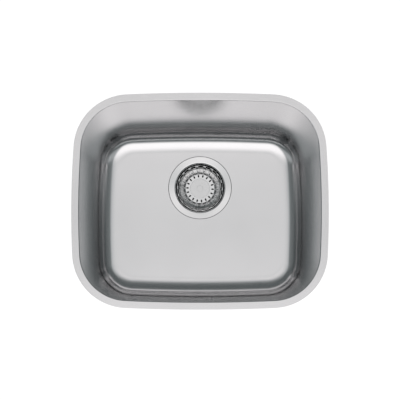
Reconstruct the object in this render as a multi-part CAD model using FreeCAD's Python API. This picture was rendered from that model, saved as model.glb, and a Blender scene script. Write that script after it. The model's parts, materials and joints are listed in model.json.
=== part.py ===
import FreeCAD, Part
import math
import os

# Undermount kitchen sink: one pressed steel bowl with a basket strainer in its drain.
#
# Millimetres and degrees. The origin is the centre of the rim's top face, which meets the underside
# of the worktop. +X runs to the right along the bowl, +Y to the back, +Z up.
# Strainer sizes called "drop" are measured down from the bowl's floor.

# ---- Bowl
opening_length = 400.0
opening_width = 336.0
opening_corner_radius = 79.0
long_side_bow_radius = 2720.0
short_side_bow_radius = 1585.0
flange_width = 12.5
bowl_depth = 208.0
wall_draft = 5.5
rim_bend_radius = 1.6
floor_fillet_radius = 26.0
floor_ease_radius = 80.0
floor_ease_turn = 12.0
bowl_sheet = 0.9
drain_setback = 49.3

# ---- Recess pressed round the drain hole
recess_gap = 0.4
recess_side_angle = 80.0
recess_top_radius = 1.0
recess_foot_radius = 0.6
recess_land = 1.5
hole_clearance = 0.6

# ---- Strainer body
strainer_flange_radius = 57.0
strainer_flange_sheet = 1.0
flange_edge_drop = 0.3
flange_dish_angle = 4.0
flange_edge_radius = 0.3
seal_least = 0.4
seal_margin = 1.0
mouth_radius = 44.2
mouth_roll_radius = 3.0
cup_draft = 4.0
cup_foot_radius = 4.0
cup_bottom_sheet = 2.2
cup_wall = 1.4
seat_inner_radius = 26.0
seat_edge_radius = 3.0
funnel_fall = 5.0
outlet_radius = 20.0
outlet_edge_radius = 2.0
ledge_width = 1.5
ledge_drop = 44.0
thread_radius = 45.4
thread_pitch = 2.0
thread_height = 0.5
thread_turns = 11
spigot_radius = 23.9
spigot_drop = 62.0
spigot_thread_turns = 7
corner_break = 0.5

# ---- Clamping stack under the bowl
nut_thread_gap = 0.1
gasket_thickness = 3.0
friction_ring_thickness = 1.0
gasket_width = 9.6
locknut_height = 12.0
locknut_radius = 59.0
locknut_notches = 8
notch_width = 11.0
notch_depth = 5.5

# ---- Outlet to the trap
outlet_washer_thickness = 2.5
outlet_washer_margin = 0.6
tailpiece_radius = 19.05
tailpiece_wall = 1.2
tailpiece_length = 88.0
tailpiece_flange_thickness = 1.5
tailpiece_end_chamfer = 0.5
slip_nut_grip = 12.0
slip_nut_lip = 2.5
slip_nut_lip_gap = 0.9
slip_nut_across_flats = 58.0
slip_nut_sides = 8
slip_nut_bevel = 2.0

# ---- Guide in the outlet
spider_gap = 0.1
spider_ring_width = 2.4
spider_height = 4.0
spider_arms = 4
spider_arm_width = 2.6
boss_radius = 7.0
boss_rise = 0.8
boss_length = 12.8
running_gap = 0.05
sleeve_wall = 1.45
sleeve_flange_radius = 6.5
sleeve_flange_thickness = 1.0
sleeve_lip = 0.5
sleeve_lip_height = 1.0
sleeve_slot = 0.8

# ---- Basket
stem_radius = 3.0
closing_travel = 7.0
closed_seal_gap = 0.3
basket_gap = 1.0
basket_sheet = 0.8
basket_lip_drop = 6.6
basket_lip_width = 1.8
basket_lip_turn = 1.8
basket_lip_radius = 0.9
basket_wall_height = 7.0
basket_wall_lean = 3.0
basket_foot_radius = 2.2
valley_radius = 30.0
valley_fall = 1.0
valley_round = 2.0
hub_radius = 26.6
hub_rise = 2.6
hub_round = 1.6
window_count = 18
window_width = 8.8
window_height = 4.8
window_top = 0.9
window_lip_gap = 1.2
slot_count = 18
slot_width = 2.7
slot_inner_radius = 20.6
slot_outer_radius = 25.4
slot_turn = 17.0
window_turn = 8.0
rib_radius = 1.3
rib_height = 0.45
rib_inner_radius = 26.8
rib_outer_radius = 32.6
cap_radius = 18.0
cap_thickness = 0.8
cap_edge_radius = 0.4
stem_head_radius = 5.6
stem_head_height = 0.6
stem_head_round = 0.3
stem_end_chamfer = 1.0
stem_overrun = 5.0
detent_width = 1.5
detent_depth = 0.3

# ---- Stopper under the basket
spacer_length = 7.2
spacer_radius = 6.0
retainer_radius = 28.0
retainer_thickness = 0.8
stopper_radius = 33.0
stopper_thickness = 3.0
stopper_edge_radius = 1.0
stopper_groove_width = 5.0
stopper_groove_depth = 1.0
seal_cup_radius = 22.0
seal_cup_thickness = 0.8
stem_nut_across_flats = 10.0
stem_nut_height = 4.0

# ---- Sound pads
wall_pad_glue = 0.3
pad_thickness = 2.0
pad_top = 25.0
wall_pad_height = 110.0
long_wall_pad_length = 210.0
short_wall_pad_length = 150.0
floor_pad_length = 230.0
floor_pad_margin = 12.0
floor_pad_corner = 10.0

# ---- Worked out from the sizes above
UP = FreeCAD.Vector(0, 0, 1)
ORIGIN = FreeCAD.Vector(0, 0, 0)
FULL_TURN = 360.0
TINY = 1e-6

floor_z = -bowl_depth
draft = math.radians(wall_draft)
ease = math.radians(floor_ease_turn)
ease_reach = floor_ease_radius * math.tan(ease / 2)
fillet_reach = floor_fillet_radius * math.tan((math.pi / 2 - draft - ease) / 2)
ease_rise = (ease_reach + fillet_reach) * math.sin(ease)
wall_foot_inset = (bowl_depth - ease_rise) * math.tan(draft)
ease_foot_inset = wall_foot_inset + (ease_reach + fillet_reach) * math.cos(ease)
flat_floor_inset = ease_foot_inset + ease_reach
drain_centre = FreeCAD.Vector(0, drain_setback, 0)

bowl_hole_radius = thread_radius + hole_clearance
dish_slope = math.tan(math.radians(flange_dish_angle))
flange_underside_step = strainer_flange_sheet / math.cos(math.radians(flange_dish_angle))


def flange_top_drop(radius):
    """How far the strainer flange's top lies below the floor at a radius."""
    return flange_edge_drop + (strainer_flange_radius - radius) * dish_slope


def flange_underside_drop(radius):
    """The same for its underside, which the seal fills up to."""
    return flange_top_drop(radius) + flange_underside_step


recess_drop = flange_underside_drop(bowl_hole_radius) + seal_least
gasket_top_drop = recess_drop + bowl_sheet
friction_ring_top_drop = gasket_top_drop + gasket_thickness
locknut_top_drop = friction_ring_top_drop + friction_ring_thickness

basket_floor_drop = basket_lip_drop + basket_wall_height
valley_drop = basket_floor_drop + valley_fall
hub_drop = valley_drop - hub_rise
cap_drop = hub_drop - cap_thickness
head_drop = cap_drop - stem_head_height
spacer_drop = hub_drop + basket_sheet
retainer_drop = spacer_drop + spacer_length
stopper_drop = retainer_drop + retainer_thickness
seal_cup_drop = stopper_drop + stopper_thickness
stem_nut_drop = seal_cup_drop + seal_cup_thickness
seat_drop = seal_cup_drop + closing_travel + closed_seal_gap
cup_underside_drop = seat_drop + cup_bottom_sheet
funnel_split_radius = seat_inner_radius - (seat_inner_radius - outlet_radius) * cup_bottom_sheet / funnel_fall

spider_top_drop = ledge_drop - spider_height
boss_top_drop = spider_top_drop - boss_rise
boss_end_drop = boss_top_drop + boss_length
stem_bore_radius = stem_radius + running_gap
sleeve_radius = stem_bore_radius + sleeve_wall
boss_bore_radius = sleeve_radius + running_gap
sleeve_end_drop = boss_end_drop + running_gap + sleeve_lip_height
stem_end_drop = sleeve_end_drop + stem_overrun

washer_end_drop = spigot_drop + outlet_washer_thickness
tail_flange_end_drop = washer_end_drop + tailpiece_flange_thickness
tail_end_drop = tail_flange_end_drop + tailpiece_length
slip_nut_end_drop = tail_flange_end_drop + slip_nut_lip


def cup_radius_at(drop):
    """Radius of the strainer cup's inner wall at a depth below the floor."""
    return mouth_radius - (drop - flange_top_drop(mouth_radius)) * math.tan(math.radians(cup_draft))


basket_radius = cup_radius_at(basket_lip_drop + basket_lip_turn + closing_travel) - basket_gap


# ---- Profiles
def unit(vector):
    """The vector at length one."""
    return vector * (1 / vector.Length)


def rounded_wire(corners):
    """Closed wire in the XZ plane through (x, z, radius) corners, each rounded to its radius."""
    points = [FreeCAD.Vector(x, 0, z) for x, z, radius in corners]
    starts, middles, ends = [], [], []
    for i, (x, z, radius) in enumerate(corners):
        back = unit(points[i - 1] - points[i])
        ahead = unit(points[(i + 1) % len(points)] - points[i])
        half = back.getAngle(ahead) / 2
        if radius < TINY or math.pi / 2 - half < TINY:
            starts.append(points[i])
            middles.append(None)
            ends.append(points[i])
            continue
        reach = radius / math.tan(half)
        centre = points[i] + unit(back + ahead) * (radius / math.sin(half))
        starts.append(points[i] + back * reach)
        middles.append(centre + unit(points[i] - centre) * radius)
        ends.append(points[i] + ahead * reach)
    edges = []
    for i in range(len(points)):
        following = (i + 1) % len(points)
        if middles[i] is not None:
            edges.append(Part.Arc(starts[i], middles[i], ends[i]).toShape())
        if (starts[following] - ends[i]).Length > TINY:
            edges.append(Part.LineSegment(ends[i], starts[following]).toShape())
    return Part.Wire(edges)


def sheet_corners(path, thickness):
    """Corners of a bent sheet: a path of (x, z, radius) on one face, and the other face to its left."""
    directions = []
    for (x0, z0, r0), (x1, z1, r1) in zip(path, path[1:]):
        directions.append(unit(FreeCAD.Vector(x1 - x0, 0, z1 - z0)))
    other_face = []
    for i, (x, z, radius) in enumerate(path):
        before = directions[max(i - 1, 0)]
        after = directions[min(i, len(directions) - 1)]
        turns_left = before.x * after.z - before.z * after.x > 0
        shift = thickness / (1 + before.dot(after))
        far_x = x - (before.z + after.z) * shift
        far_z = z + (before.x + after.x) * shift
        far_radius = radius - thickness if turns_left else radius + thickness
        if radius < TINY:
            far_radius = 0
        other_face.append((far_x, far_z, max(far_radius, 0)))
    return path + other_face[::-1]


def turned(corners, centre=ORIGIN, start=0.0, sweep=FULL_TURN):
    """Solid of a profile turned about the vertical axis through a centre."""
    face = Part.Face(rounded_wire(corners))
    face.rotate(ORIGIN, UP, start)
    face.translate(centre)
    return face.revolve(centre, UP, sweep)


def at_drain(corners):
    """Solid turned about the drain's axis, its corners given as (radius, drop, rounding)."""
    return turned([(radius, floor_z - drop, rounding) for radius, drop, rounding in corners], drain_centre)


def washer(inner_radius, outer_radius, top_drop, thickness, rounding=0.0):
    """Flat ring about the drain's axis."""
    end_drop = top_drop + thickness
    return at_drain([
        (inner_radius, top_drop, 0),
        (outer_radius, top_drop, rounding),
        (outer_radius, end_drop, rounding),
        (inner_radius, end_drop, 0),
    ])


def around_drain(make, count, first_turn=0.0):
    """Copies of a shape made on the +X side of the drain, evenly turned about its axis."""
    copies = []
    for i in range(count):
        copy = make()
        copy.rotate(drain_centre, UP, first_turn + i * FULL_TURN / count)
        copies.append(copy)
    return copies


def block_at_drain(radius_from, radius_to, width, top_drop, end_drop):
    """Box that points away from the drain's axis along +X."""
    corner = FreeCAD.Vector(radius_from, drain_setback - width / 2, floor_z - end_drop)
    return Part.makeBox(radius_to - radius_from, width, end_drop - top_drop, corner)


def prism_at_drain(sides, across_flats, top_drop, end_drop):
    """Upright prism with so many flats, centred on the drain's axis."""
    corner_radius = across_flats / 2 / math.cos(math.pi / sides)
    points = []
    for i in range(sides + 1):
        angle = 2 * math.pi * (i + 0.5) / sides
        across = FreeCAD.Vector(math.cos(angle), math.sin(angle), 0) * corner_radius
        points.append(drain_centre + across + UP * (floor_z - end_drop))
    return Part.Face(Part.makePolygon(points)).extrude(UP * (end_drop - top_drop))


def tidy(shape):
    """One clean solid, with faces that lie on one surface merged."""
    return shape.removeSplitter().Solids[0]


# ---- Bowl
def outline_arcs():
    """The opening's eight tangent arcs: centre, radius, start angle and sweep, anticlockwise."""
    long_centre = FreeCAD.Vector(0, opening_width / 2 - long_side_bow_radius, 0)
    short_centre = FreeCAD.Vector(opening_length / 2 - short_side_bow_radius, 0, 0)
    from_long = long_side_bow_radius - opening_corner_radius
    from_short = short_side_bow_radius - opening_corner_radius
    between = short_centre - long_centre
    along = (from_long ** 2 - from_short ** 2 + between.Length ** 2) / (2 * between.Length)
    aside = math.sqrt(from_long ** 2 - along ** 2)
    corner_centre = long_centre + unit(between) * along + unit(between).cross(UP) * -aside
    if corner_centre.x < 0:
        corner_centre = long_centre + unit(between) * along + unit(between).cross(UP) * aside
    corner_from_short = corner_centre - short_centre
    corner_from_long = corner_centre - long_centre
    first = math.degrees(math.atan2(corner_from_short.y, corner_from_short.x))
    last = math.degrees(math.atan2(corner_from_long.y, corner_from_long.x))
    mirrored_centre = FreeCAD.Vector(-corner_centre.x, corner_centre.y, 0)
    half = [
        (short_centre, short_side_bow_radius, -first, 2 * first),
        (corner_centre, opening_corner_radius, first, last - first),
        (long_centre, long_side_bow_radius, last, FULL_TURN / 2 - 2 * last),
        (mirrored_centre, opening_corner_radius, FULL_TURN / 2 - last, last - first),
    ]
    other_half = [(centre * -1, radius, start + FULL_TURN / 2, sweep) for centre, radius, start, sweep in half]
    return half + other_half


def outline_face(inset, z):
    """Flat face inside the opening's outline, moved inwards by an inset."""
    edges = []
    for centre, radius, start, sweep in outline_arcs():
        circle = Part.Circle(centre + UP * z, UP, radius - inset)
        edges.append(Part.Arc(circle, math.radians(start), math.radians(start + sweep)).toShape())
    return Part.Face(Part.Wire(edges))


def wall_corners(radius):
    """Section of flange, wall and the fillet that eases into the floor, at the opening's radius."""
    return sheet_corners([
        (radius + flange_width, 0, 0),
        (radius, 0, rim_bend_radius),
        (radius - wall_foot_inset, floor_z + ease_rise, floor_fillet_radius),
        (radius - ease_foot_inset, floor_z, floor_ease_radius),
        (radius - flat_floor_inset, floor_z, 0),
    ], bowl_sheet)


def recess_corners():
    """Section of the recess round the drain hole, as (radius, z, rounding)."""
    foot_radius = strainer_flange_radius + recess_gap
    edge_radius = foot_radius + recess_drop / math.tan(math.radians(recess_side_angle))
    return sheet_corners([
        (edge_radius + recess_land, floor_z, 0),
        (edge_radius, floor_z, recess_top_radius),
        (foot_radius, floor_z - recess_drop, recess_foot_radius),
        (bowl_hole_radius, floor_z - recess_drop, 0),
    ], bowl_sheet)


def make_sink_bowl():
    """Flange, drafted walls, floor fillets and floor, with the recess and the drain hole."""
    wedges = [turned(wall_corners(radius), centre, start, sweep)
              for centre, radius, start, sweep in outline_arcs()]
    recess = recess_corners()
    floor = outline_face(flat_floor_inset, floor_z - bowl_sheet).extrude(UP * bowl_sheet)
    hole_depth = 2 * bowl_sheet
    hole_base = drain_centre + UP * (floor_z - hole_depth)
    floor = floor.cut(Part.makeCylinder(recess[0][0], 2 * hole_depth, hole_base, UP))
    return tidy(wedges[0].multiFuse(wedges[1:] + [floor, turned(recess, drain_centre)]))


# ---- Sound pads
def wall_pad(centre, radius, middle_angle, length):
    """Pad glued to the outer face of a wall, bowed and drafted as the wall is."""
    stand_off = bowl_sheet + wall_pad_glue

    def on_glue(distance):
        x = radius - distance * math.sin(draft) + stand_off * math.cos(draft)
        z = -distance * math.cos(draft) - stand_off * math.sin(draft)
        return (x, z, 0)

    sweep = math.degrees(length / radius)
    path = [on_glue(pad_top), on_glue(pad_top + wall_pad_height)]
    return turned(sheet_corners(path, pad_thickness), centre, middle_angle - sweep / 2, sweep)


def make_wall_pads():
    """One pad on each wall."""
    sides = outline_arcs()[::2]
    names = ["right_pad", "back_pad", "left_pad", "front_pad"]
    lengths = [short_wall_pad_length, long_wall_pad_length] * 2
    pads = {}
    for name, length, (centre, radius, start, sweep) in zip(names, lengths, sides):
        pads[name] = wall_pad(centre, radius, start + sweep / 2, length)
    return pads


def make_floor_pad():
    """Pad under the floor, between the drain and the front fillet."""
    back = drain_setback - recess_corners()[0][0] - floor_pad_margin
    front = flat_floor_inset - opening_width / 2 + floor_pad_margin
    corner = FreeCAD.Vector(-floor_pad_length / 2, front, floor_z - bowl_sheet - pad_thickness)
    pad = Part.makeBox(floor_pad_length, back - front, pad_thickness, corner)
    uprights = [edge for edge in pad.Edges if abs(edge.tangentAt(edge.FirstParameter).z) > 0.5]
    return pad.makeFillet(floor_pad_corner, uprights)


# ---- Strainer body and what clamps it
def thread_corners(crest_radius, end_drop, turns):
    """Crests and roots of a thread, from its lower end upwards."""
    corners = []
    for i in range(turns):
        drop = end_drop - i * thread_pitch
        corners.append((crest_radius, drop, 0))
        corners.append((crest_radius - thread_height, drop - thread_pitch / 2, 0))
    corners.append((crest_radius, end_drop - turns * thread_pitch, 0))
    return corners


def make_strainer_body():
    """Dished flange, cup with its outer thread, and the stopper's seat."""
    foot_radius = cup_radius_at(seat_drop)
    outer_foot_radius = foot_radius + cup_wall
    thread_start = flange_underside_drop(thread_radius) + thread_pitch
    thread_end = thread_start + thread_turns * thread_pitch
    cup = [
        (strainer_flange_radius, flange_edge_drop, flange_edge_radius),
        (mouth_radius, flange_top_drop(mouth_radius), mouth_roll_radius),
        (foot_radius, seat_drop, cup_foot_radius),
        (seat_inner_radius, seat_drop, seat_edge_radius),
        (funnel_split_radius, cup_underside_drop, 0),
        (outer_foot_radius, cup_underside_drop, cup_foot_radius),
        (outer_foot_radius, thread_end, 0),
    ]
    thread = thread_corners(thread_radius, thread_end, thread_turns)
    flange = [
        (thread_radius, flange_underside_drop(thread_radius), 0),
        (strainer_flange_radius, flange_underside_drop(strainer_flange_radius), flange_edge_radius),
    ]
    return at_drain(cup + thread + flange)


def make_strainer_spigot():
    """Funnel under the cup, outlet with the guide's ledge, and the outer thread."""
    funnel = [
        (funnel_split_radius, cup_underside_drop, 0),
        (outlet_radius, seat_drop + funnel_fall, outlet_edge_radius),
        (outlet_radius, ledge_drop, 0),
        (outlet_radius - ledge_width, ledge_drop, 0),
        (outlet_radius - ledge_width, spigot_drop, 0),
        (spigot_radius - corner_break, spigot_drop, 0),
    ]
    thread = thread_corners(spigot_radius, spigot_drop - corner_break, spigot_thread_turns)
    shoulder = [
        (spigot_radius, cup_underside_drop + funnel_fall, 0),
        (seat_inner_radius + cup_bottom_sheet, cup_underside_drop, 0),
    ]
    return at_drain(funnel + thread + shoulder)


def make_flange_seal():
    """Wedge-shaped ring that fills the space under the strainer flange."""
    inner = bowl_hole_radius + seal_margin
    outer = strainer_flange_radius - seal_margin
    return at_drain([
        (inner, flange_underside_drop(inner), 0),
        (outer, flange_underside_drop(outer), 0),
        (outer, recess_drop, 0),
        (inner, recess_drop, 0),
    ])


def make_locknut():
    """Wide threaded ring with notches for a spanner."""
    nut = washer(thread_radius + nut_thread_gap, locknut_radius, locknut_top_drop, locknut_height, corner_break)
    end_drop = locknut_top_drop + locknut_height

    def notch():
        return block_at_drain(locknut_radius - notch_depth, locknut_radius + notch_depth, notch_width,
                              locknut_top_drop - corner_break, end_drop + corner_break)

    return tidy(nut.cut(Part.makeCompound(around_drain(notch, locknut_notches))))


# ---- Outlet to the trap
def make_tailpiece():
    """Thin tube with a turned flange at its top."""
    bore = tailpiece_radius - tailpiece_wall
    return at_drain([
        (bore, washer_end_drop, tailpiece_end_chamfer),
        (spigot_radius - outlet_washer_margin, washer_end_drop, tailpiece_end_chamfer),
        (spigot_radius - outlet_washer_margin, tail_flange_end_drop, 0),
        (tailpiece_radius, tail_flange_end_drop, 0),
        (tailpiece_radius, tail_end_drop - tailpiece_end_chamfer, 0),
        (tailpiece_radius - tailpiece_end_chamfer, tail_end_drop, 0),
        (bore, tail_end_drop, 0),
    ])


def make_slip_nut():
    """Nut with flats that draws the tailpiece up against the spigot."""
    top_drop = spigot_drop - slip_nut_grip
    body = prism_at_drain(slip_nut_sides, slip_nut_across_flats, top_drop, slip_nut_end_drop)
    corner_radius = slip_nut_across_flats / 2 / math.cos(math.pi / slip_nut_sides)
    turned_outside = washer(0, corner_radius, top_drop, slip_nut_end_drop - top_drop, slip_nut_bevel)
    body = body.common(turned_outside)
    inside = at_drain([
        (0, top_drop - corner_break, 0),
        (spigot_radius + nut_thread_gap, top_drop - corner_break, 0),
        (spigot_radius + nut_thread_gap, tail_flange_end_drop, 0),
        (tailpiece_radius + slip_nut_lip_gap, tail_flange_end_drop, 0),
        (tailpiece_radius + slip_nut_lip_gap, slip_nut_end_drop + corner_break, 0),
        (0, slip_nut_end_drop + corner_break, 0),
    ])
    return tidy(body.cut(inside))


# ---- Guide
def make_guide_spider():
    """Ring on the outlet's ledge, with arms that carry the boss in its middle."""
    ring_radius = outlet_radius - spider_gap
    ring = washer(ring_radius - spider_ring_width, ring_radius, spider_top_drop, spider_height)
    boss = washer(0, boss_radius, boss_top_drop, boss_length, corner_break)
    middle_of_ring = ring_radius - spider_ring_width / 2

    def arm():
        return block_at_drain(0, middle_of_ring, spider_arm_width, spider_top_drop, ledge_drop)

    spider = ring.multiFuse([boss] + around_drain(arm, spider_arms))
    bore = washer(0, boss_bore_radius, boss_top_drop - corner_break, boss_length + 2 * corner_break)
    return tidy(spider.cut(bore))


def make_catch_sleeve():
    """Split nylon sleeve, held in the boss between its flange and its lip."""
    sleeve = at_drain([
        (stem_bore_radius, boss_top_drop - sleeve_flange_thickness, 0),
        (sleeve_flange_radius, boss_top_drop - sleeve_flange_thickness, 0),
        (sleeve_flange_radius, boss_top_drop, 0),
        (sleeve_radius, boss_top_drop, 0),
        (sleeve_radius, boss_end_drop + running_gap, 0),
        (sleeve_radius + sleeve_lip, boss_end_drop + running_gap, 0),
        (sleeve_radius, sleeve_end_drop, 0),
        (stem_bore_radius, sleeve_end_drop, 0),
    ])
    split = block_at_drain(0, sleeve_flange_radius + corner_break, sleeve_slot,
                           boss_top_drop + sleeve_flange_thickness, sleeve_end_drop + corner_break)
    return tidy(sleeve.cut(split))


# ---- Basket
def make_basket_shell():
    """Pressed basket: turned lip, leaning wall with windows, dished floor, slotted hub with ribs."""
    shell = at_drain([(radius, -z, rounding) for radius, z, rounding in sheet_corners([
        (basket_radius, -basket_lip_drop - basket_lip_turn, 0),
        (basket_radius, -basket_lip_drop, basket_lip_radius),
        (basket_radius - basket_lip_width, -basket_lip_drop, basket_lip_radius),
        (basket_radius - basket_lip_width - basket_wall_lean, -basket_floor_drop, basket_foot_radius),
        (valley_radius, -valley_drop, valley_round),
        (hub_radius, -hub_drop, hub_round),
        (stem_bore_radius, -hub_drop, 0),
    ], basket_sheet)])
    wall_radius = basket_radius - basket_lip_width - basket_wall_lean
    window_top_drop = basket_lip_drop + window_top

    def rib():
        sunk = rib_radius - rib_height
        rise = valley_fall * (rib_outer_radius - valley_radius) / (wall_radius - valley_radius)
        start = FreeCAD.Vector(rib_inner_radius, drain_setback, floor_z - hub_drop - sunk)
        end = FreeCAD.Vector(rib_outer_radius, drain_setback, floor_z - valley_drop + rise - sunk)
        bar = Part.makeCylinder(rib_radius, (end - start).Length, start, end - start)
        return bar.multiFuse([Part.makeSphere(rib_radius, start), Part.makeSphere(rib_radius, end)])

    def window():
        return block_at_drain(wall_radius - basket_sheet, basket_radius - window_lip_gap, window_width,
                              window_top_drop, window_top_drop + window_height)

    def slot():
        half = slot_width / 2
        height = hub_rise + 4 * basket_sheet
        base_z = floor_z - valley_drop - 3 * basket_sheet
        bar = Part.makeBox(slot_outer_radius - slot_inner_radius - slot_width, slot_width, height,
                           FreeCAD.Vector(slot_inner_radius + half, drain_setback - half, base_z))
        near = FreeCAD.Vector(slot_inner_radius + half, drain_setback, base_z)
        far = FreeCAD.Vector(slot_outer_radius - half, drain_setback, base_z)
        return bar.multiFuse([Part.makeCylinder(half, height, near), Part.makeCylinder(half, height, far)])

    shell = shell.multiFuse(around_drain(rib, slot_count, slot_turn))
    cuts = around_drain(window, window_count, window_turn) + around_drain(slot, slot_count, slot_turn)
    return tidy(shell.cut(Part.makeCompound(cuts)))


def make_stem():
    """Round stem with a flat head above the hub and two grooves that the sleeve grips."""
    groove_radius = stem_radius - detent_depth
    raised_groove = boss_top_drop + boss_length / 2
    closed_groove = raised_groove - closing_travel

    def groove(drop):
        return [
            (stem_radius, drop - detent_width / 2, 0),
            (groove_radius, drop - detent_width / 2 + detent_depth, 0),
            (groove_radius, drop + detent_width / 2 - detent_depth, 0),
            (stem_radius, drop + detent_width / 2, 0),
        ]

    return at_drain([
        (0, head_drop, 0),
        (stem_head_radius, head_drop, stem_head_round),
        (stem_head_radius, cap_drop, 0),
        (stem_radius, cap_drop, 0),
    ] + groove(closed_groove) + groove(raised_groove) + [
        (stem_radius, stem_end_drop - stem_end_chamfer, 0),
        (stem_radius - stem_end_chamfer, stem_end_drop, 0),
        (0, stem_end_drop, 0),
    ])


def make_stopper_seal():
    """Rubber disc with a groove that lets its edge flex down on to the seat."""
    groove_outer = stopper_radius - stopper_groove_width
    groove_inner = groove_outer - stopper_groove_width / 2
    end_drop = seal_cup_drop
    return at_drain([
        (stem_bore_radius, stopper_drop, 0),
        (stopper_radius, stopper_drop, stopper_edge_radius),
        (stopper_radius, end_drop, stopper_edge_radius),
        (groove_outer, end_drop, 0),
        (groove_outer, end_drop - stopper_groove_depth, 0),
        (groove_inner, end_drop - stopper_groove_depth, 0),
        (groove_inner, end_drop, 0),
        (stem_bore_radius, end_drop, 0),
    ])


def make_stem_nut():
    """Hexagon nut that clamps the stopper's pieces to the stem."""
    nut = prism_at_drain(6, stem_nut_across_flats, stem_nut_drop, stem_nut_drop + stem_nut_height)
    return nut.cut(washer(0, stem_bore_radius, stem_nut_drop - corner_break, stem_nut_height + 2 * corner_break))


def make_nodes():
    """Every piece by its node's name."""
    spigot_bore = outlet_radius - ledge_width
    washer_radius = spigot_radius - outlet_washer_margin
    nodes = {
        "sink_bowl": make_sink_bowl(),
        "floor_pad": make_floor_pad(),
        "strainer_body": make_strainer_body(),
        "strainer_spigot": make_strainer_spigot(),
        "flange_seal": make_flange_seal(),
        "under_gasket": washer(bowl_hole_radius, bowl_hole_radius + gasket_width,
                               gasket_top_drop, gasket_thickness, corner_break),
        "friction_ring": washer(bowl_hole_radius, bowl_hole_radius + gasket_width,
                                friction_ring_top_drop, friction_ring_thickness),
        "locknut": make_locknut(),
        "guide_spider": make_guide_spider(),
        "catch_sleeve": make_catch_sleeve(),
        "outlet_washer": washer(spigot_bore, washer_radius, spigot_drop, outlet_washer_thickness),
        "tailpiece": make_tailpiece(),
        "slip_nut": make_slip_nut(),
        "basket_shell": make_basket_shell(),
        "hub_cap": at_drain([
            (stem_bore_radius, cap_drop, 0),
            (cap_radius, cap_drop, cap_edge_radius),
            (cap_radius, hub_drop, 0),
            (stem_bore_radius, hub_drop, 0),
        ]),
        "stem": make_stem(),
        "spacer_tube": washer(stem_bore_radius, spacer_radius, spacer_drop, spacer_length),
        "seal_retainer": washer(stem_bore_radius, retainer_radius, retainer_drop, retainer_thickness),
        "stopper_seal": make_stopper_seal(),
        "seal_cup": washer(stem_bore_radius, seal_cup_radius, seal_cup_drop, seal_cup_thickness),
        "stem_nut": make_stem_nut(),
    }
    nodes.update(make_wall_pads())
    return nodes


def main():
    os.makedirs("parts", exist_ok=True)
    for name, shape in make_nodes().items():
        shape.exportStep(os.path.join("parts", name + ".step"))
        print(name, shape.isValid(), len(shape.Solids), round(shape.Volume, 1))


main()
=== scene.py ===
# %% [markdown]
# # An undermount kitchen sink, seen from above
#
# The real object is one bowl pressed from thin steel sheet, with a basket strainer clamped in its drain.
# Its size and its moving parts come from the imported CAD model, which this file loads as a fixed frame.
# Here each piece gets the surface, the finish and the light that make it look like the real one.

import json
import math

import bpy
import numpy as np
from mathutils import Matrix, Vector


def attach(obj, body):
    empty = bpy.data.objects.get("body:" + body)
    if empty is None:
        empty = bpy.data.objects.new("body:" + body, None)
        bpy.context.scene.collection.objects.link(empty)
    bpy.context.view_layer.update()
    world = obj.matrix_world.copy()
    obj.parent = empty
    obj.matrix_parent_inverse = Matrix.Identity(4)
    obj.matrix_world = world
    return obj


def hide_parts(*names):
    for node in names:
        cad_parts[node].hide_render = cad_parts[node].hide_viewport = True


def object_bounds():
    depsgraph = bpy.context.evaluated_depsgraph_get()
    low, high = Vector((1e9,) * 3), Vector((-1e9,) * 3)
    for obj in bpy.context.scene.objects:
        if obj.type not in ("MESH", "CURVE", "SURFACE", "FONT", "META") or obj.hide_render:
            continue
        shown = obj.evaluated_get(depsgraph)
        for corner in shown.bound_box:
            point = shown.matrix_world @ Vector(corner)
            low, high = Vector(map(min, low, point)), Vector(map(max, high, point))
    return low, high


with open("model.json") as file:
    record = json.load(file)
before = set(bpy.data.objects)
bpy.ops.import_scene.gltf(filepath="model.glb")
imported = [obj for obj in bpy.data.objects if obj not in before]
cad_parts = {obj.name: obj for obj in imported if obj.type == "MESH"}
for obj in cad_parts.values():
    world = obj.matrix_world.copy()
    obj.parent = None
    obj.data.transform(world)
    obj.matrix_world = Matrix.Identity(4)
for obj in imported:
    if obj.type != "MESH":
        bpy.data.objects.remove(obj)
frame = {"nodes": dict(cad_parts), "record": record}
cad_box = [list(corner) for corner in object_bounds()]
print("CAD box in metres", cad_box)

# %% [markdown]
# ## Sizes
#
# The CAD model works in millimetres, and Blender in metres. The sizes that this file needs again are
# written once, here, in millimetres, and every mesh is scaled as it is made.

# %% Sizes of the bowl and its drain
MM = 0.001
opening = (400.0, 336.0)
corner_radius = 79.0
side_bows = (1585.0, 2720.0)
flange_width = 12.5
depth = 208.0
draft = math.radians(5.5)
rim_bend = 1.6
floor_fillet = 26.0
floor_ease = 80.0
ease_turn = math.radians(12.0)
sheet = 0.9
drain = (0.0, 49.3)
floor_z = -depth
ease_reach = floor_ease * math.tan(ease_turn / 2)
slope = ease_reach + floor_fillet * math.tan((math.pi / 2 - draft - ease_turn) / 2)
ease_rise = slope * math.sin(ease_turn)
wall_inset = (depth - ease_rise) * math.tan(draft)
ease_inset = wall_inset + slope * math.cos(ease_turn)
flat_inset = ease_inset + ease_reach
print("flat floor starts", round(flat_inset, 2), "mm inside the opening")

# %% [markdown]
# The gap round the strainer's flange is narrower here than in the CAD model, 0.1 mm in place of 0.4 mm, and
# the recess's edge is sharper. At its true width the gap draws too dark a line round the flange.

# %% Sizes of the strainer where it sits in the bowl
strainer_flange = 57.0
strainer_sheet = 1.0
flange_edge_drop = 0.3
flange_dish = math.radians(4.0)
bowl_hole = 46.0
seal_least = 0.4
recess_foot = strainer_flange + 0.1
recess_land = 1.5


def flange_drop(radius):
    """How far the strainer flange's top lies below the floor at a radius."""
    return flange_edge_drop + (strainer_flange - radius) * math.tan(flange_dish)


recess_drop = flange_drop(bowl_hole) + strainer_sheet / math.cos(flange_dish) + seal_least
recess_edge = recess_foot + recess_drop / math.tan(math.radians(80.0))
print("the recess is", round(recess_drop, 2), "mm deep and", round(recess_edge, 2), "mm in radius")

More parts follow.
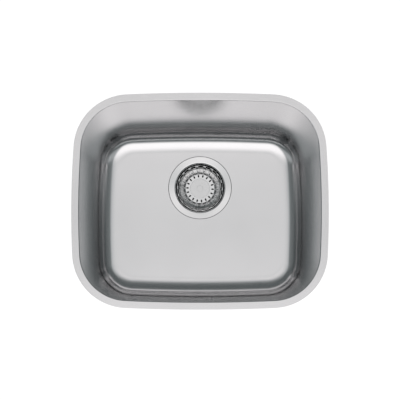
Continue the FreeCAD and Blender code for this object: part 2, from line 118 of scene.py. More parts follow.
# %% [markdown]
# ## Rounded paths
#
# Pressed and turned metal has no truly sharp edge: every corner of its section is a small arc. So a
# section is written as a few corners, each with its rounding, and this helper walks along it. It also
# notes which way the surface faces at each step. With those directions stored in the mesh, a polished
# surface reflects smoothly even where the mesh has few faces.

# %% Walk along a section
def walk(corners, closed=True, arc_step=9.0, least=0.12):
    """Points and right-hand normals along (x, z, rounding) corners."""
    places = [Vector(corner[:2]) for corner in corners]
    count = len(corners)
    legs = [places[(i + 1) % count] - places[i] for i in range(count)]
    headings = [leg.normalized() for leg in legs]
    turns = [math.atan2(headings[i - 1].cross(headings[i]), headings[i - 1].dot(headings[i]))
             for i in range(count)]
    if not closed:
        turns[0] = turns[-1] = 0.0
    reaches = [max(corner[2], least) * math.tan(abs(turn) / 2) for corner, turn in zip(corners, turns)]
    for i in range(count if closed else count - 1):
        j = (i + 1) % count
        share = (legs[i].length + 1e-6) / max(reaches[i] + reaches[j], 1e-9)
        if share < 1:
            reaches[i] *= share
            reaches[j] *= share
    points, normals = [], []

    def note(place, direction):
        if points and (place - points[-1]).length < 1e-3:
            return
        points.append(place)
        normals.append(Vector((direction.y, -direction.x)))

    for i, turn in enumerate(turns):
        before = headings[i - 1] if closed or i else headings[0]
        if abs(turn) < 1e-4:
            note(places[i], before)
            continue
        radius = reaches[i] / math.tan(abs(turn) / 2)
        inward = Vector((-before.y, before.x)) * math.copysign(1, turn)
        start = places[i] - before * reaches[i]
        centre = start + inward * radius
        steps = max(2, math.ceil(math.degrees(abs(turn)) / arc_step))
        for k in range(steps + 1):
            angle = turn * k / steps
            cos, sin = math.cos(angle), math.sin(angle)
            spoke = start - centre
            turned_spoke = Vector((spoke.x * cos - spoke.y * sin, spoke.x * sin + spoke.y * cos))
            heading = Vector((before.x * cos - before.y * sin, before.x * sin + before.y * cos))
            note(centre + turned_spoke, heading)
    return np.array(points), np.array(normals)


def other_face(corners, thickness):
    """The far face of a sheet, to the left of an open path of (x, z, rounding) corners."""
    places = [Vector(corner[:2]) for corner in corners]
    headings = [(b - a).normalized() for a, b in zip(places, places[1:])]
    far = []
    for i, (x, z, rounding) in enumerate(corners):
        before, after = headings[max(i - 1, 0)], headings[min(i, len(headings) - 1)]
        turns_left = before.x * after.y - before.y * after.x > 0
        shift = thickness / (1 + before.dot(after))
        grown = rounding - thickness if turns_left else rounding + thickness
        far.append((x - (before.y + after.y) * shift, z + (before.x + after.x) * shift,
                    max(grown, 0) if rounding else 0))
    return far


# %% Join rings into a mesh
def ring_mesh(name, rings, loop=False):
    """Mesh through rings of (points, normals); a ring shrunk to one point is a pole."""
    points, normals, first = [], [], []
    for ring, normal in rings:
        first.append(len(points))
        if np.ptp(ring, axis=0).max() < 1e-6:
            ring, normal = ring[:1], normal[:1]
        points.extend(ring)
        normals.extend(normal)
    sizes = np.diff(first + [len(points)])
    count = sizes.max()
    faces = []
    for i in range(len(rings) if loop else len(rings) - 1):
        j = (i + 1) % len(rings)
        for k in range(count):
            m = (k + 1) % count
            corners = [first[i] + (k if sizes[i] > 1 else 0), first[i] + (m if sizes[i] > 1 else 0),
                       first[j] + (m if sizes[j] > 1 else 0), first[j] + (k if sizes[j] > 1 else 0)]
            corners = list(dict.fromkeys(corners))
            if len(corners) > 2:
                faces.append(corners)
    points, normals = np.array(points), np.array(normals)
    votes = 0.0
    for face in faces[:: max(1, len(faces) // 400)]:
        across = np.cross(points[face[1]] - points[face[0]], points[face[2]] - points[face[0]])
        votes += float(np.dot(across, normals[face].mean(axis=0)) > 0) - 0.5
    if votes < 0:
        faces = [face[::-1] for face in faces]
    mesh = bpy.data.meshes.new(name)
    mesh.from_pydata((points * MM).tolist(), [], faces)
    mesh.shade_smooth()
    mesh.normals_split_custom_set_from_vertices(normals.tolist())
    made = bpy.data.objects.new(name, mesh)
    bpy.context.scene.collection.objects.link(made)
    print(name, len(mesh.vertices), "points", len(mesh.polygons), "faces")
    return made


# %% [markdown]
# ## Node helper
#
# Materials are small trees of nodes. This helper adds one node and fills its inputs, either with a value
# or with the output of another node.

# %% Add a node
def add(tree, kind, inputs=None, **settings):
    """One node, its settings, and its inputs by name or number."""
    made = tree.nodes.new(kind)
    for key, value in settings.items():
        setattr(made, key, value)
    for key, value in (inputs or {}).items():
        if isinstance(value, bpy.types.NodeSocket):
            tree.links.new(value, made.inputs[key])
        else:
            made.inputs[key].default_value = value
    return made


def new_finish(name):
    """An empty material with its shader and output."""
    finish = bpy.data.materials.new(name)
    finish.use_nodes = True
    tree = finish.node_tree
    tree.nodes.clear()
    shader = add(tree, "ShaderNodeBsdfPrincipled")
    add(tree, "ShaderNodeOutputMaterial", {"Surface": shader.outputs[0]})
    return finish, tree, shader


def stretched_noise(tree, place, stretch, scale, detail=3.0):
    """Noise drawn out along some axes."""
    mapping = add(tree, "ShaderNodeMapping", {"Vector": place, "Scale": stretch})
    return add(tree, "ShaderNodeTexNoise", {"Vector": mapping.outputs[0], "Scale": scale, "Detail": detail})


def between(tree, factor, low, high):
    """Maps a noise, which mostly lies between 0.3 and 0.7, to a range."""
    return add(tree, "ShaderNodeMapRange", {"Value": factor, "From Min": 0.3, "From Max": 0.7,
                                            "To Min": low, "To Max": high}).outputs[0]


# %% [markdown]
# ## Steel
#
# Stainless steel shows how it was worked. The bowl is brushed along its length, and turned parts carry fine
# rings round their axis. Both are noise drawn out along one direction, which varies the gloss and the
# relief a little. The tone changes only faintly, because clean steel has nearly one colour.

# %% Steel finishes
def grain_lines(tree, place, scale):
    """Brushed lines that run level: along X, but along Y on a face that looks to the left or right."""
    along_x = stretched_noise(tree, place, (1, 40, 40), scale, 3.0)
    along_y = stretched_noise(tree, place, (40, 1, 40), scale, 3.0)
    facing = add(tree, "ShaderNodeNewGeometry").outputs["Normal"]
    sideways = add(tree, "ShaderNodeMath", {0: add(tree, "ShaderNodeSeparateXYZ", {0: facing}).outputs[0]},
                   operation="ABSOLUTE")
    share = add(tree, "ShaderNodeMapRange", {"Value": sideways.outputs[0], "From Min": 0.5, "From Max": 0.85})
    return add(tree, "ShaderNodeMix", {0: share.outputs[0], 2: along_x.outputs[0],
                                       3: along_y.outputs[0]}).outputs[0]


def ring_lines(tree, place, scale):
    """Fine turned lines round the drain's axis."""
    centred = add(tree, "ShaderNodeMapping", {"Vector": place, "Location": (0, -drain[1] * MM, 0)})
    parts = add(tree, "ShaderNodeSeparateXYZ", {0: centred.outputs[0]})
    flat = add(tree, "ShaderNodeCombineXYZ", {0: parts.outputs[0], 1: parts.outputs[1]})
    radius = add(tree, "ShaderNodeVectorMath", {0: flat.outputs[0]}, operation="LENGTH")
    line = add(tree, "ShaderNodeCombineXYZ", {0: radius.outputs["Value"], 1: parts.outputs[2]})
    return add(tree, "ShaderNodeTexNoise", {"Vector": line.outputs[0], "Scale": scale,
                                            "Detail": 2.0}).outputs[0]


def steel(name, colour, roughness, lines, scale, grain=0.02, spread=0.02):
    """Steel with fine lines, a slightly uneven tone and an uneven gloss."""
    finish, tree, shader = new_finish(name)
    place = add(tree, "ShaderNodeTexCoord").outputs["Object"]
    cloud = stretched_noise(tree, place, (1, 1, 1), 9.0, 2.0)
    height = lines(tree, place, scale)
    low = [c * (1 - spread) for c in colour] + [1]
    high = [c * (1 + spread) for c in colour] + [1]
    tone = add(tree, "ShaderNodeMix", {0: between(tree, cloud.outputs[0], 0.0, 1.0), 6: low, 7: high},
               data_type="RGBA")
    tree.links.new(tone.outputs[2], shader.inputs["Base Color"])
    tree.links.new(between(tree, height, roughness * 0.85, roughness * 1.15), shader.inputs["Roughness"])
    bump = add(tree, "ShaderNodeBump", {"Height": height, "Strength": grain, "Distance": 0.0001})
    tree.links.new(bump.outputs[0], shader.inputs["Normal"])
    shader.inputs["Metallic"].default_value = 1.0
    return finish


satin_steel = steel("satin_steel", (0.69, 0.686, 0.69), 0.18, grain_lines, 50.0, 0.003)
polished_steel = steel("polished_steel", (0.72, 0.72, 0.72), 0.12, ring_lines, 3000.0)
turned_steel = steel("turned_steel", (0.66, 0.66, 0.66), 0.2, ring_lines, 3000.0)
bright_plate = steel("bright_plate", (0.75, 0.75, 0.76), 0.08, ring_lines, 3000.0)


# %% [markdown]
# ## Rubber, fibre and plastic
#
# The pieces under the sink are dull: sprayed damping pads, black seals, a pressed fibre ring, moulded nuts
# and a nylon sleeve. A fine speck gives each its texture, and only its scale, depth and colour differ.

# %% Rubber, fibre and plastic finishes
def solid(name, colour, roughness, scale, spread=0.15, bump=0.1):
    """A dull finish with a fine texture."""
    finish, tree, shader = new_finish(name)
    coordinates = add(tree, "ShaderNodeTexCoord")
    speck = stretched_noise(tree, coordinates.outputs["Object"], (1, 1, 1), scale, 4.0)
    low = [c * (1 - spread) for c in colour] + [1]
    high = [c * (1 + spread) for c in colour] + [1]
    tone = add(tree, "ShaderNodeMix", {0: between(tree, speck.outputs[0], 0.0, 1.0), 6: low, 7: high},
               data_type="RGBA")
    tree.links.new(tone.outputs[2], shader.inputs["Base Color"])
    gloss = between(tree, speck.outputs[0], roughness * 0.9, roughness * 1.1)
    tree.links.new(gloss, shader.inputs["Roughness"])
    relief = add(tree, "ShaderNodeBump", {"Height": speck.outputs[0], "Strength": bump, "Distance": 0.0002})
    tree.links.new(relief.outputs[0], shader.inputs["Normal"])
    return finish


pad_rubber = solid("pad_rubber", (0.09, 0.09, 0.1), 0.7, 400.0)
seal_rubber = solid("seal_rubber", (0.03, 0.03, 0.03), 0.6, 900.0)
fibre = solid("fibre", (0.42, 0.31, 0.2), 0.85, 700.0)
nut_plastic = solid("nut_plastic", (0.12, 0.12, 0.13), 0.5, 900.0)
nylon = solid("nylon", (0.82, 0.81, 0.77), 0.4, 700.0, 0.03)

finishes = {"satin_steel": turned_steel, "polished_steel": polished_steel, "pad_rubber": pad_rubber,
            "seal_rubber": seal_rubber, "fibre": fibre, "nut_plastic": nut_plastic, "nylon": nylon,
            "plated_brass": bright_plate}

# %% [markdown]
# ## The basket's steel
#
# The basket is stamped from one thin disc. Seen from above, its dish shows fine lines that point at the hub,
# a bright petal beyond each slot, and a dark dash at each side window, below the lip. The real dashes and
# petals are shapes. Here all three are painted light and shade in the steel's colour: the dish is darkened
# in radial streaks of painted shade, each petal is a painted highlight, and each dash is painted shade where
# a window's opening would look dark. The windows of the solid stand upright and the lip hides them from
# above, so a material marks where they lie. The lines follow the direction from the drain's axis. The
# petals and dashes follow the angle round it, at the openings' own pitch. The disc above the stopper's seal
# is painted nearly black, as painted shade, only so that the slots over it look as dark as they should.

# %% Finishes of the basket and its lower disc
window_count, first_window, first_slot = 18, math.radians(8.0), math.radians(17.0)
window_width, petal_width = 8.8, 4.4
dash_middle, dash_half = 40.2, 1.1
petal_middle, petal_half = 29.6, 2.9
dish_inner, dish_outer = 26.8, 39.0
# The petals' tone is a painted highlight, and the dashes' tone is painted shade where the windows would look
# dark.
petal_highlight_tone, petal_gloss = (0.92, 0.92, 0.92, 1), 0.45
window_shade_tone, dash_gloss = (0.01, 0.01, 0.01, 1), 0.7


def within(tree, value, middle, reach):
    """1 where a value lies close to a middle value, else 0."""
    return add(tree, "ShaderNodeMath", {0: value, 1: middle, 2: reach}, operation="COMPARE").outputs[0]


def repeated(tree, angle, first, width, middle):
    """1 within the width of each of the openings round the axis, measured at a radius, else 0."""
    pitch = 2 * math.pi / window_count
    steps = add(tree, "ShaderNodeMath", {0: angle, 1: 1 / pitch, 2: -first / pitch},
                operation="MULTIPLY_ADD").outputs[0]
    nearest = add(tree, "ShaderNodeMath", {0: steps}, operation="ROUND").outputs[0]
    return within(tree, steps, nearest, width / middle / pitch / 2)


def product(tree, first, second):
    """Two values multiplied: 1 only where both are 1."""
    return add(tree, "ShaderNodeMath", {0: first, 1: second}, operation="MULTIPLY").outputs[0]


def sheen_and_shade_steel():
    """The polished steel with painted shade in radial streaks over the dish, painted highlights on the petals
    and painted shade at the window dashes.
    """
    finish = polished_steel.copy()
    finish.name = "sheen_and_shade_steel"
    tree = finish.node_tree
    shader = next(node for node in tree.nodes if node.type == "BSDF_PRINCIPLED")
    tone = shader.inputs["Base Color"].links[0].from_socket
    gloss = shader.inputs["Roughness"].links[0].from_socket
    place = add(tree, "ShaderNodeTexCoord").outputs["Object"]
    centred = add(tree, "ShaderNodeMapping", {"Vector": place, "Location": (0, -drain[1] * MM, 0)})
    parts = add(tree, "ShaderNodeSeparateXYZ", {0: centred.outputs[0]}).outputs
    flat = add(tree, "ShaderNodeCombineXYZ", {0: parts[0], 1: parts[1]}).outputs[0]
    radius = add(tree, "ShaderNodeVectorMath", {0: flat}, operation="LENGTH").outputs["Value"]
    angle = add(tree, "ShaderNodeMath", {0: parts[1], 1: parts[0]}, operation="ARCTAN2").outputs[0]
    towards = add(tree, "ShaderNodeVectorMath", {0: flat}, operation="NORMALIZE").outputs[0]
    lines = add(tree, "ShaderNodeTexNoise", {"Vector": towards, "Scale": 36.0, "Detail": 2.0}).outputs[0]
    dish = within(tree, radius, (dish_inner + dish_outer) / 2 * MM, (dish_outer - dish_inner) / 2 * MM)
    # The dish's radial lines are painted shade: its colour is darkened in streaks.
    streak_shade_tone = add(tree, "ShaderNodeCombineColor", {k: between(tree, lines, 0.16, 0.72) for k in range(3)})
    # Each petal gets a painted highlight, and each window dash gets painted shade with the metal turned off.
    petal_highlight = product(tree, repeated(tree, angle, first_slot, petal_width, petal_middle),
                    within(tree, radius, petal_middle * MM, petal_half * MM))
    window_shade = product(tree, repeated(tree, angle, first_window, window_width, dash_middle),
                   within(tree, radius, dash_middle * MM, dash_half * MM))
    for mask, painted in ((dish, streak_shade_tone.outputs[0]), (petal_highlight, petal_highlight_tone), (window_shade, window_shade_tone)):
        tone = add(tree, "ShaderNodeMix", {0: mask, 6: tone, 7: painted}, data_type="RGBA").outputs[2]
    for mask, painted in ((petal_highlight, petal_gloss), (window_shade, dash_gloss)):
        gloss = add(tree, "ShaderNodeMix", {0: mask, 2: gloss, 3: painted}).outputs[0]
    solid_metal = add(tree, "ShaderNodeMath", {0: 1.0, 1: window_shade}, operation="SUBTRACT").outputs[0]
    for name, value in {"Base Color": tone, "Roughness": gloss, "Metallic": solid_metal}.items():
        tree.links.new(value, shader.inputs[name])
    return finish


basket_steel = sheen_and_shade_steel()
# A nearly black steel for the disc under the slots: painted shade, so that the slots over it look dark.
painted_shade_steel = steel("painted_shade_steel", (0.05, 0.05, 0.052), 0.5, ring_lines, 3000.0)

# %% Dress every node of the frame
own_finish = {"basket_shell": basket_steel, "seal_retainer": painted_shade_steel}
for row in frame["record"]["subparts"]:
    dressed = frame["nodes"][row["node"]]
    dressed.data.materials.clear()
    dressed.data.materials.append(own_finish.get(row["node"], finishes[row["material_slot"]]))


# %% [markdown]
# ## The bowl's outline
#
# The opening isn't a plain rounded rectangle: its four sides bow outwards a little, and each runs
# smoothly into its corner. So the outline is eight arcs, and one point on it is given by its arc's
# centre and an angle. Moving in from the outline is then exact: only the arc's radius shrinks.

# %% Eight arcs
def outline_spokes(corner_steps=40, side_steps=36):
    """Arc centre, radius and direction at each of the outline's points, anticlockwise."""
    short_bow, long_bow = side_bows
    short_x = opening[0] / 2 - short_bow
    long_y = opening[1] / 2 - long_bow
    from_short, from_long = short_bow - corner_radius, long_bow - corner_radius
    gap = math.hypot(short_x, long_y)
    along = (from_long ** 2 - from_short ** 2 + gap ** 2) / (2 * gap)
    aside = math.sqrt(from_long ** 2 - along ** 2)
    ux, uy = short_x / gap, -long_y / gap
    options = [(ux * along - uy * aside * s, long_y + uy * along + ux * aside * s) for s in (1, -1)]
    corner_x, corner_y = max(options)
    first = math.atan2(corner_y, corner_x - short_x)
    last = math.atan2(corner_y - long_y, corner_x)
    half = [((short_x, 0), short_bow, -first, 2 * first, side_steps),
            ((corner_x, corner_y), corner_radius, first, last - first, corner_steps),
            ((0, long_y), long_bow, last, math.pi - 2 * last, side_steps),
            ((-corner_x, corner_y), corner_radius, math.pi - last, last - first, corner_steps)]
    spokes = []
    for sign, start in ((1, 0), (-1, math.pi)):
        for (x, y), radius, angle, sweep, steps in half:
            for k in range(steps):
                spokes.append((x * sign, y * sign, radius, start + angle + sweep * k / steps))
    return np.array(spokes)


spokes = outline_spokes()
spoke_x, spoke_y = np.cos(spokes[:, 3]), np.sin(spokes[:, 3])
rim_line = spokes[:, :2] + np.stack([spoke_x, spoke_y], axis=1) * spokes[:, 2:3]
around = np.concatenate([[0], np.cumsum(np.linalg.norm(np.diff(rim_line, axis=0), axis=1))])
print(len(spokes), "points round the opening,", round(around[-1]), "mm long")

# %% [markdown]
# ## The pressed bowl
#
# Flange, wall and floor fillet have one section all the way round, so they are rings at growing depth
# along that section. Inside the fillet the floor is flat: there the rings change from the outline's
# shape to a circle, where the recess for the drain begins. The sheet's lower face comes back the same way.

# %% Rings of the upper and lower face
edge_round = 0.15
wall_section = [(flange_width, 0, 0), (0, 0, rim_bend), (-wall_inset, floor_z + ease_rise, floor_fillet),
                (-ease_inset, floor_z, floor_ease), (-flat_inset, floor_z, 0)]
recess_z = floor_z - recess_drop
recess_section = [(recess_edge + recess_land, floor_z, 0), (recess_edge, floor_z, 0.4),
                  (recess_foot, recess_z, 0.6), (bowl_hole, recess_z, 0)]
turns = np.arange(len(spokes)) * 2 * math.pi / len(spokes) + spokes[0, 3]


def wall_ring(out, z, facing_out, facing_up):
    """One ring at a distance outside the opening's outline."""
    radius = spokes[:, 2] + out
    level = np.ones(len(spokes))
    ring = np.stack([spokes[:, 0] + spoke_x * radius, spokes[:, 1] + spoke_y * radius, level * z], axis=1)
    return ring, np.stack([spoke_x * facing_out, spoke_y * facing_out, level * facing_up], axis=1)


def drain_ring(radius, z, facing_out, facing_up, centre=drain):
    """One ring round the drain's axis."""
    cos, sin, level = np.cos(turns), np.sin(turns), np.ones(len(turns))
    ring = np.stack([centre[0] + cos * radius, centre[1] + sin * radius, level * z], axis=1)
    return ring, np.stack([cos * facing_out, sin * facing_out, level * facing_up], axis=1)


def face_rings(wall, recess, up):
    """Rings of one face of the sheet, from the flange's edge in to the drain hole."""
    edge_z, hole_z = -sheet / 2, recess_z - sheet / 2
    wall = [(flange_width, edge_z, 0), (*wall[0][:2], edge_round)] + wall[1:]
    recess = recess[:-1] + [(*recess[-1][:2], edge_round), (recess[-1][0], hole_z, 0)]
    rings = [wall_ring(out, z, facing_out * up, facing_up * up)
             for (out, z), (facing_out, facing_up) in zip(*walk(wall, closed=False, arc_step=3.5))]
    edge, circle = rings[-1][0], drain_ring(recess[0][0], wall[-1][1], 0, up)[0]
    flat = np.tile([0.0, 0.0, float(up)], (len(spokes), 1))
    rings += [(edge * (1 - share) + circle * share, flat) for share in (0.04, 0.2, 0.4, 0.6, 0.8, 0.96)]
    rings += [drain_ring(radius, z, facing_out * up, facing_up * up)
              for (radius, z), (facing_out, facing_up) in zip(*walk(recess, closed=False))]
    return rings


upper = face_rings(wall_section, recess_section, 1)
lower = face_rings(other_face(wall_section, sheet), other_face(recess_section, sheet), -1)
bowl = ring_mesh("pressed_bowl", upper + lower[-2:0:-1], loop=True)
bowl.data.materials.append(satin_steel)
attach(bowl, "sink")
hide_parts("sink_bowl")

# %% [markdown]
# ## The strainer body
#
# This is a turned and rolled part: a dished flange that rests in the bowl's recess, a cup, a seat for the
# stopper, and a spigot for the pipe below. One closed section, turned about the drain's axis, gives it.
# The directions stored along the section matter here too, because the flange is the brightest ring that
# one sees when looking down into the sink. The threads are added below, as real helices.

# %% Section of the strainer body
mouth, cup_draft = 44.2, math.radians(4.0)
seat_drop, cup_bottom, cup_wall = 31.1, 2.2, 1.4
seat_inner, funnel_fall = 26.0, 5.0
outlet, outlet_ledge, ledge_drop = 20.0, 18.5, 44.0
spigot, spigot_drop = 23.9, 62.0
cup_thread, thread_height, thread_pitch = 45.4, 0.5, 2.0
cup_thread_turns, spigot_thread_turns = 11, 7
cup_foot = mouth - (seat_drop - flange_drop(mouth)) * math.tan(cup_draft)
under_step = strainer_sheet / math.cos(flange_dish)
cup_thread_top = flange_drop(cup_thread) + under_step + thread_pitch
cup_thread_end = cup_thread_top + cup_thread_turns * thread_pitch
spigot_thread_end = spigot_drop - 0.5
spigot_thread_top = spigot_thread_end - spigot_thread_turns * thread_pitch
cup_root, spigot_root = cup_thread - thread_height, spigot - thread_height
body_section = [
    (strainer_flange, flange_edge_drop, 0.3), (mouth, flange_drop(mouth), 3.0), (cup_foot, seat_drop, 4.0),
    (seat_inner, seat_drop, 3.0), (outlet, seat_drop + funnel_fall, 2.0), (outlet, ledge_drop, 0),
    (outlet_ledge, ledge_drop, 0), (outlet_ledge, spigot_drop, 0.3), (spigot_root, spigot_drop, 0.3),
    (spigot_root, spigot_thread_top, 0), (spigot, spigot_thread_top - thread_height, 0),
    (spigot, seat_drop + cup_bottom + funnel_fall, 0), (seat_inner + cup_bottom, seat_drop + cup_bottom, 0.8),
    (cup_foot + cup_wall, seat_drop + cup_bottom, 4.0), (cup_foot + cup_wall, cup_thread_end, 0),
    (cup_root, cup_thread_end - thread_height, 0), (cup_root, flange_drop(cup_root) + under_step, 0.3),
    (strainer_flange, flange_edge_drop + under_step, 0.3)]


def turned_piece(name, section, arc_step=6.0):
    """A closed section of (radius, drop below the floor, rounding), turned about the drain's axis."""
    upright = [(radius, floor_z - drop, rounding) for radius, drop, rounding in section]
    return ring_mesh(name, [drain_ring(radius, z, out, up)
                            for (radius, z), (out, up) in zip(*walk(upright, arc_step=arc_step))], loop=True)


strainer = turned_piece("strainer_cup", body_section)
strainer.data.materials.append(polished_steel)
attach(strainer, "sink")
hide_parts("strainer_body", "strainer_spigot")

# %% [markdown]
# ## Shapes that repeat
#
# Threads and pressed flutes follow a simple rule, so geometry nodes grow them from a few named sizes:
# change one number and the whole row changes. Each tree sweeps a small profile along a line, turns its
# instances into real geometry and gives it a finish. The result is kept as a plain mesh, with no live tree
# left on it.

# %% Start a tree, end it, and keep what it grows
def start_tree(name, sizes):
    """A geometry tree with a named input for each size, and its input sockets."""
    tree = bpy.data.node_groups.new(name, "GeometryNodeTree")
    for label, value in sizes.items():
        kind = "NodeSocketInt" if isinstance(value, int) else "NodeSocketFloat"
        tree.interface.new_socket(label, in_out="INPUT", socket_type=kind)
    tree.interface.new_socket("Finish", in_out="INPUT", socket_type="NodeSocketMaterial")
    tree.interface.new_socket("Geometry", in_out="OUTPUT", socket_type="NodeSocketGeometry")
    return tree, tree.nodes.new("NodeGroupInput").outputs


def end_tree(tree, grown, finish):
    """Real geometry and its finish, as the tree's output."""
    real = add(tree, "GeometryNodeRealizeInstances", {0: grown}).outputs[0]
    dressed = add(tree, "GeometryNodeSetMaterial", {"Geometry": real, "Material": finish}).outputs[0]
    add(tree, "NodeGroupOutput", {0: dressed})


def grow(name, tree, sizes, finish, body):
    """Runs a tree once and keeps the result as a plain mesh on a body."""
    made = bpy.data.objects.new(name, bpy.data.meshes.new(name))
    bpy.context.scene.collection.objects.link(made)
    modifier = made.modifiers.new("grow", "NODES")
    modifier.node_group = tree
    values = {**sizes, "Finish": finish}
    for socket in tree.interface.items_tree:
        if socket.in_out == "INPUT":
            modifier[socket.identifier] = values[socket.name]
    graph = bpy.context.evaluated_depsgraph_get()
    grown = bpy.data.meshes.new_from_object(made.evaluated_get(graph))
    made.modifiers.clear()
    made.data = grown
    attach(made, body)
    print(name, len(grown.polygons), "faces")
    return made


def scaled(tree, socket, factor):
    """A size times a plain number."""
    return add(tree, "ShaderNodeMath", {0: socket, 1: factor}, operation="MULTIPLY").outputs[0]


# %% [markdown]
# ## Screw threads
#
# The cup's outside and the spigot carry rolled threads, which the locknut and the slip nut run on. A thread
# is a small ridge that climbs by its pitch with each turn, so the tree sweeps a four-sided profile, half of
# it sunk in the metal, along a helix.

# %% Helical threads
def thread_tree(sizes):
    """A helical ridge round the drain's axis."""
    tree, size = start_tree("thread", sizes)
    rise = add(tree, "ShaderNodeMath", {0: size["Turns"], 1: size["Pitch"]}, operation="MULTIPLY").outputs[0]
    helix = add(tree, "GeometryNodeCurveSpiral",
                {"Resolution": 72, "Rotations": size["Turns"], "Start Radius": size["Root Radius"],
                 "End Radius": size["Root Radius"], "Height": rise}).outputs[0]
    upright = add(tree, "GeometryNodeSetCurveNormal", {0: helix}, mode="Z_UP").outputs[0]
    diamond = add(tree, "GeometryNodeCurvePrimitiveCircle",
                  {"Resolution": 4, "Radius": scaled(tree, size["Pitch"], 0.48)}, mode="RADIUS").outputs[0]
    squash = add(tree, "ShaderNodeMath", {0: size["Ridge Height"], 1: scaled(tree, size["Pitch"], 0.48)},
                 operation="DIVIDE").outputs[0]
    flat = add(tree, "ShaderNodeCombineXYZ", {0: squash, 1: 1.0, 2: 1.0}).outputs[0]
    ridge = add(tree, "GeometryNodeTransform", {"Geometry": diamond, "Scale": flat}).outputs[0]
    swept = add(tree, "GeometryNodeCurveToMesh", {"Curve": upright, "Profile Curve": ridge,
                                                  "Fill Caps": True}).outputs[0]
    place = add(tree, "ShaderNodeCombineXYZ", {1: size["Drain Y"], 2: size["Lowest Z"]}).outputs[0]
    moved = add(tree, "GeometryNodeTransform", {"Geometry": swept, "Translation": place}).outputs[0]
    end_tree(tree, moved, size["Finish"])
    return tree


def thread(name, root, turn_count, lowest_drop):
    """One thread on the sink body, from its lowest turn upwards."""
    sizes = {"Root Radius": root * MM, "Pitch": thread_pitch * MM, "Turns": float(turn_count),
             "Ridge Height": thread_height * MM, "Drain Y": drain[1] * MM,
             "Lowest Z": (floor_z - lowest_drop) * MM}
    return grow(name, thread_tree(sizes), sizes, polished_steel, "sink")


thread("cup_thread", cup_root, cup_thread_turns - 1, cup_thread_end - thread_pitch / 2)
thread("spigot_thread", spigot_root, spigot_thread_turns - 1, spigot_thread_end - thread_pitch / 2)

# %% [markdown]
# ## Flutes in the basket's floor
#
# The dish round the basket's hub shows fine radial lines, taken here as flutes pressed into the thin sheet.
# One flute is a thin rod bent along the dish and half sunk in the sheet, and the tree turns copies of it
# round the drain's axis.

# %% Radial flutes
def flute_tree(sizes):
    """Copies of one bent rod, turned evenly round the drain's axis."""
    tree, size = start_tree("flutes", sizes)
    ends = [add(tree, "ShaderNodeCombineXYZ", {0: size[part + " Radius"], 2: size[part + " Z"]}).outputs[0]
            for part in ("Inner", "Middle", "Outer")]
    bend = add(tree, "GeometryNodeCurveQuadraticBezier",
               {"Resolution": 10, "Start": ends[0], "Middle": ends[1], "End": ends[2]}).outputs[0]
    upright = add(tree, "GeometryNodeSetCurveNormal", {0: bend}, mode="Z_UP").outputs[0]
    rod = add(tree, "GeometryNodeCurvePrimitiveCircle", {"Resolution": 8, "Radius": size["Thickness"]},
              mode="RADIUS").outputs[0]
    flute = add(tree, "GeometryNodeCurveToMesh", {"Curve": upright, "Profile Curve": rod,
                                                  "Fill Caps": True}).outputs[0]
    flute = add(tree, "GeometryNodeSetShadeSmooth", {0: flute}).outputs[0]
    hubs = add(tree, "GeometryNodeMeshLine", {"Count": size["Count"], "Offset": (0, 0, 0)}).outputs[0]
    index = add(tree, "GeometryNodeInputIndex").outputs[0]
    step = add(tree, "ShaderNodeMath", {0: 2 * math.pi, 1: size["Count"]}, operation="DIVIDE").outputs[0]
    angle = add(tree, "ShaderNodeMath", {0: index, 1: step, 2: size["First Turn"]},
                operation="MULTIPLY_ADD").outputs[0]
    turn = add(tree, "FunctionNodeEulerToRotation",
               {0: add(tree, "ShaderNodeCombineXYZ", {2: angle}).outputs[0]}).outputs[0]
    ring = add(tree, "GeometryNodeInstanceOnPoints", {"Points": hubs, "Instance": flute,
                                                      "Rotation": turn}).outputs[0]
    place = add(tree, "ShaderNodeCombineXYZ", {1: size["Drain Y"]}).outputs[0]
    moved = add(tree, "GeometryNodeTransform", {"Geometry": ring, "Translation": place}).outputs[0]
    end_tree(tree, moved, size["Finish"])
    return tree


flute_sizes = {"Count": 90, "First Turn": math.radians(19.0), "Thickness": 0.42 * MM,
               "Inner Radius": 27.2 * MM, "Inner Z": (floor_z - 12.9) * MM,
               "Middle Radius": 30.2 * MM, "Middle Z": (floor_z - 15.5) * MM,
               "Outer Radius": 36.6 * MM, "Outer Z": (floor_z - 13.9) * MM, "Drain Y": drain[1] * MM}
grow("basket_flutes", flute_tree(flute_sizes), flute_sizes, basket_steel, "basket")

# %% [markdown]
# ## The white floor
#
# The sink stands on a plain white sheet of paper. Seen by the camera or in the steel it glows white, as an
# over-lit studio floor does, and a little of it is still plain white paint, so that the object's soft
# shadow stays on it. Otherwise it only sends back the light that falls on it.

# %% Floor
def card(name, corners):
    """One flat sheet that belongs to the studio, not to the sink."""
    mesh = bpy.data.meshes.new(name)
    mesh.from_pydata(corners, [], [tuple(range(len(corners)))])
    made = bpy.data.objects.new(name, mesh)
    bpy.context.scene.collection.objects.link(made)
    return made


reach = 15.0
ground_z = min(corner[2] for corner in cad_box) - 0.0005
ground = card("ground", [(-reach, -reach, ground_z), (reach, -reach, ground_z), (reach, reach, ground_z),
                         (-reach, reach, ground_z)])
paper = bpy.data.materials.new("white_paper")
paper.use_nodes = True
tree = paper.node_tree
tree.nodes.clear()
rays = add(tree, "ShaderNodeLightPath")
seen = add(tree, "ShaderNodeMath", {0: rays.outputs["Is Camera Ray"], 1: rays.outputs["Is Glossy Ray"]},
           operation="MAXIMUM")
seen = add(tree, "ShaderNodeMath", {0: seen.outputs[0], 1: rays.outputs["Is Transmission Ray"]},
           operation="MAXIMUM")
dull = add(tree, "ShaderNodeBsdfDiffuse", {"Color": (0.8, 0.8, 0.8, 1)})
faint = add(tree, "ShaderNodeBsdfDiffuse", {"Color": (0.2, 0.2, 0.2, 1)})
glow = add(tree, "ShaderNodeEmission", {"Color": (0.96, 0.96, 0.96, 1), "Strength": 1.0})
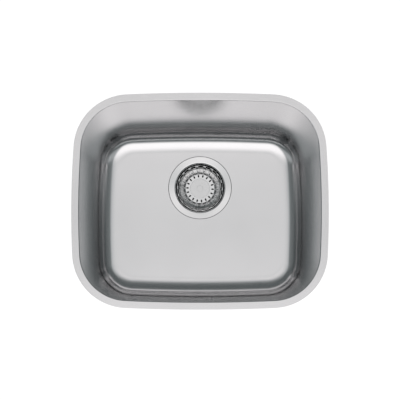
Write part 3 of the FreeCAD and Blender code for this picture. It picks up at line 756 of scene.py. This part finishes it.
white = add(tree, "ShaderNodeAddShader", {0: faint.outputs[0], 1: glow.outputs[0]})
mixed = add(tree, "ShaderNodeMixShader", {0: seen.outputs[0], 1: dull.outputs[0], 2: white.outputs[0]})
add(tree, "ShaderNodeOutputMaterial", {"Surface": mixed.outputs[0]})
ground.data.materials.append(paper)

# %% [markdown]
# ## Studio light
#
# Bare steel has almost no colour of its own: what one sees is the room in it. A product photographer hangs
# one long, soft panel over the sink and keeps the rest of the room dim, which gives the even floor and the
# dark walls with their bright edges. Here the sky is that room. Its panels are written as directions, in
# degrees from straight up, and each fades out softly. They were chosen for this one view from above. The
# dim parts of the room are a little cool, and the bright panels neutral.

# %% Panels of light in the sky
dim_room = 0.15
cool, neutral = (0.86, 0.98, 1.0, 1), (1.0, 0.985, 0.99, 1)
panels = [(-12.0, 6.0, 26.0, 14.0, 14.0, 0.98),
          (13.5, 1.0, 7.0, 6.0, 16.0, 0.5),
          (-15.0, 8.0, 13.0, 90.0, 1.0, 0.35),
          (12.0, 1.0, 8.0, 10.0, 50.0, 0.22),
          (-75.0, 14.0, 16.0, 90.0, 1.0, 1.1)]
world = bpy.data.worlds.new("studio")
bpy.context.scene.world = world
world.use_nodes = True
tree = world.node_tree
tree.nodes.clear()
direction = add(tree, "ShaderNodeTexCoord").outputs["Generated"]
towards = add(tree, "ShaderNodeSeparateXYZ", {0: direction}).outputs
above = add(tree, "ShaderNodeMath", {0: towards[2], 1: 0.0001}, operation="MAXIMUM").outputs[0]


def tilt(tree, part):
    """Degrees from straight up, seen along one axis."""
    turn = add(tree, "ShaderNodeMath", {0: part, 1: above}, operation="ARCTAN2").outputs[0]
    return add(tree, "ShaderNodeMath", {0: turn}, operation="DEGREES").outputs[0]


def fade(tree, angle, centre, half, soft):
    """1 near a direction, and softly down to 0 beyond it."""
    off = add(tree, "ShaderNodeMath", {0: angle, 1: centre}, operation="SUBTRACT").outputs[0]
    off = add(tree, "ShaderNodeMath", {0: off}, operation="ABSOLUTE").outputs[0]
    return add(tree, "ShaderNodeMapRange", {"Value": off, "From Min": half, "From Max": half + soft,
                                            "To Min": 1.0, "To Max": 0.0},
               interpolation_type="SMOOTHSTEP").outputs[0]


to_back, to_side = tilt(tree, towards[1]), tilt(tree, towards[0])
light = dim_room
for centre, half, soft, half_across, soft_across, strength in panels:
    along = fade(tree, to_back, centre, half, soft)
    across = fade(tree, to_side, 0.0, half_across, soft_across)
    share = add(tree, "ShaderNodeMath", {0: along, 1: across}, operation="MULTIPLY").outputs[0]
    light = add(tree, "ShaderNodeMath", {0: share, 1: strength, 2: light},
                operation="MULTIPLY_ADD").outputs[0]
tint = add(tree, "ShaderNodeMix", {0: light, 6: cool, 7: neutral}, data_type="RGBA").outputs[2]
sky = add(tree, "ShaderNodeBackground", {"Color": tint, "Strength": light})
add(tree, "ShaderNodeOutputWorld", {"Surface": sky.outputs[0]})
print(len(panels), "soft panels in a room of", dim_room)

# %% [markdown]
# ## Camera
#
# The picture is taken from high above the front edge, about seven degrees from straight down. A long lens
# from two metres away keeps the rim nearly undistorted.

# %% Camera
camera_data = bpy.data.cameras.new("camera")
camera_data.lens = 111.0
camera_data.sensor_width = 36.0
camera = bpy.data.objects.new("camera", camera_data)
camera.location = (0.0, -0.2583, 2.02)
camera.rotation_euler = (camera.location - Vector((0, 0, 0))).to_track_quat("Z", "Y").to_euler()
bpy.context.scene.collection.objects.link(camera)
bpy.context.scene.camera = camera

bpy.context.scene.view_settings.view_transform = "Standard"
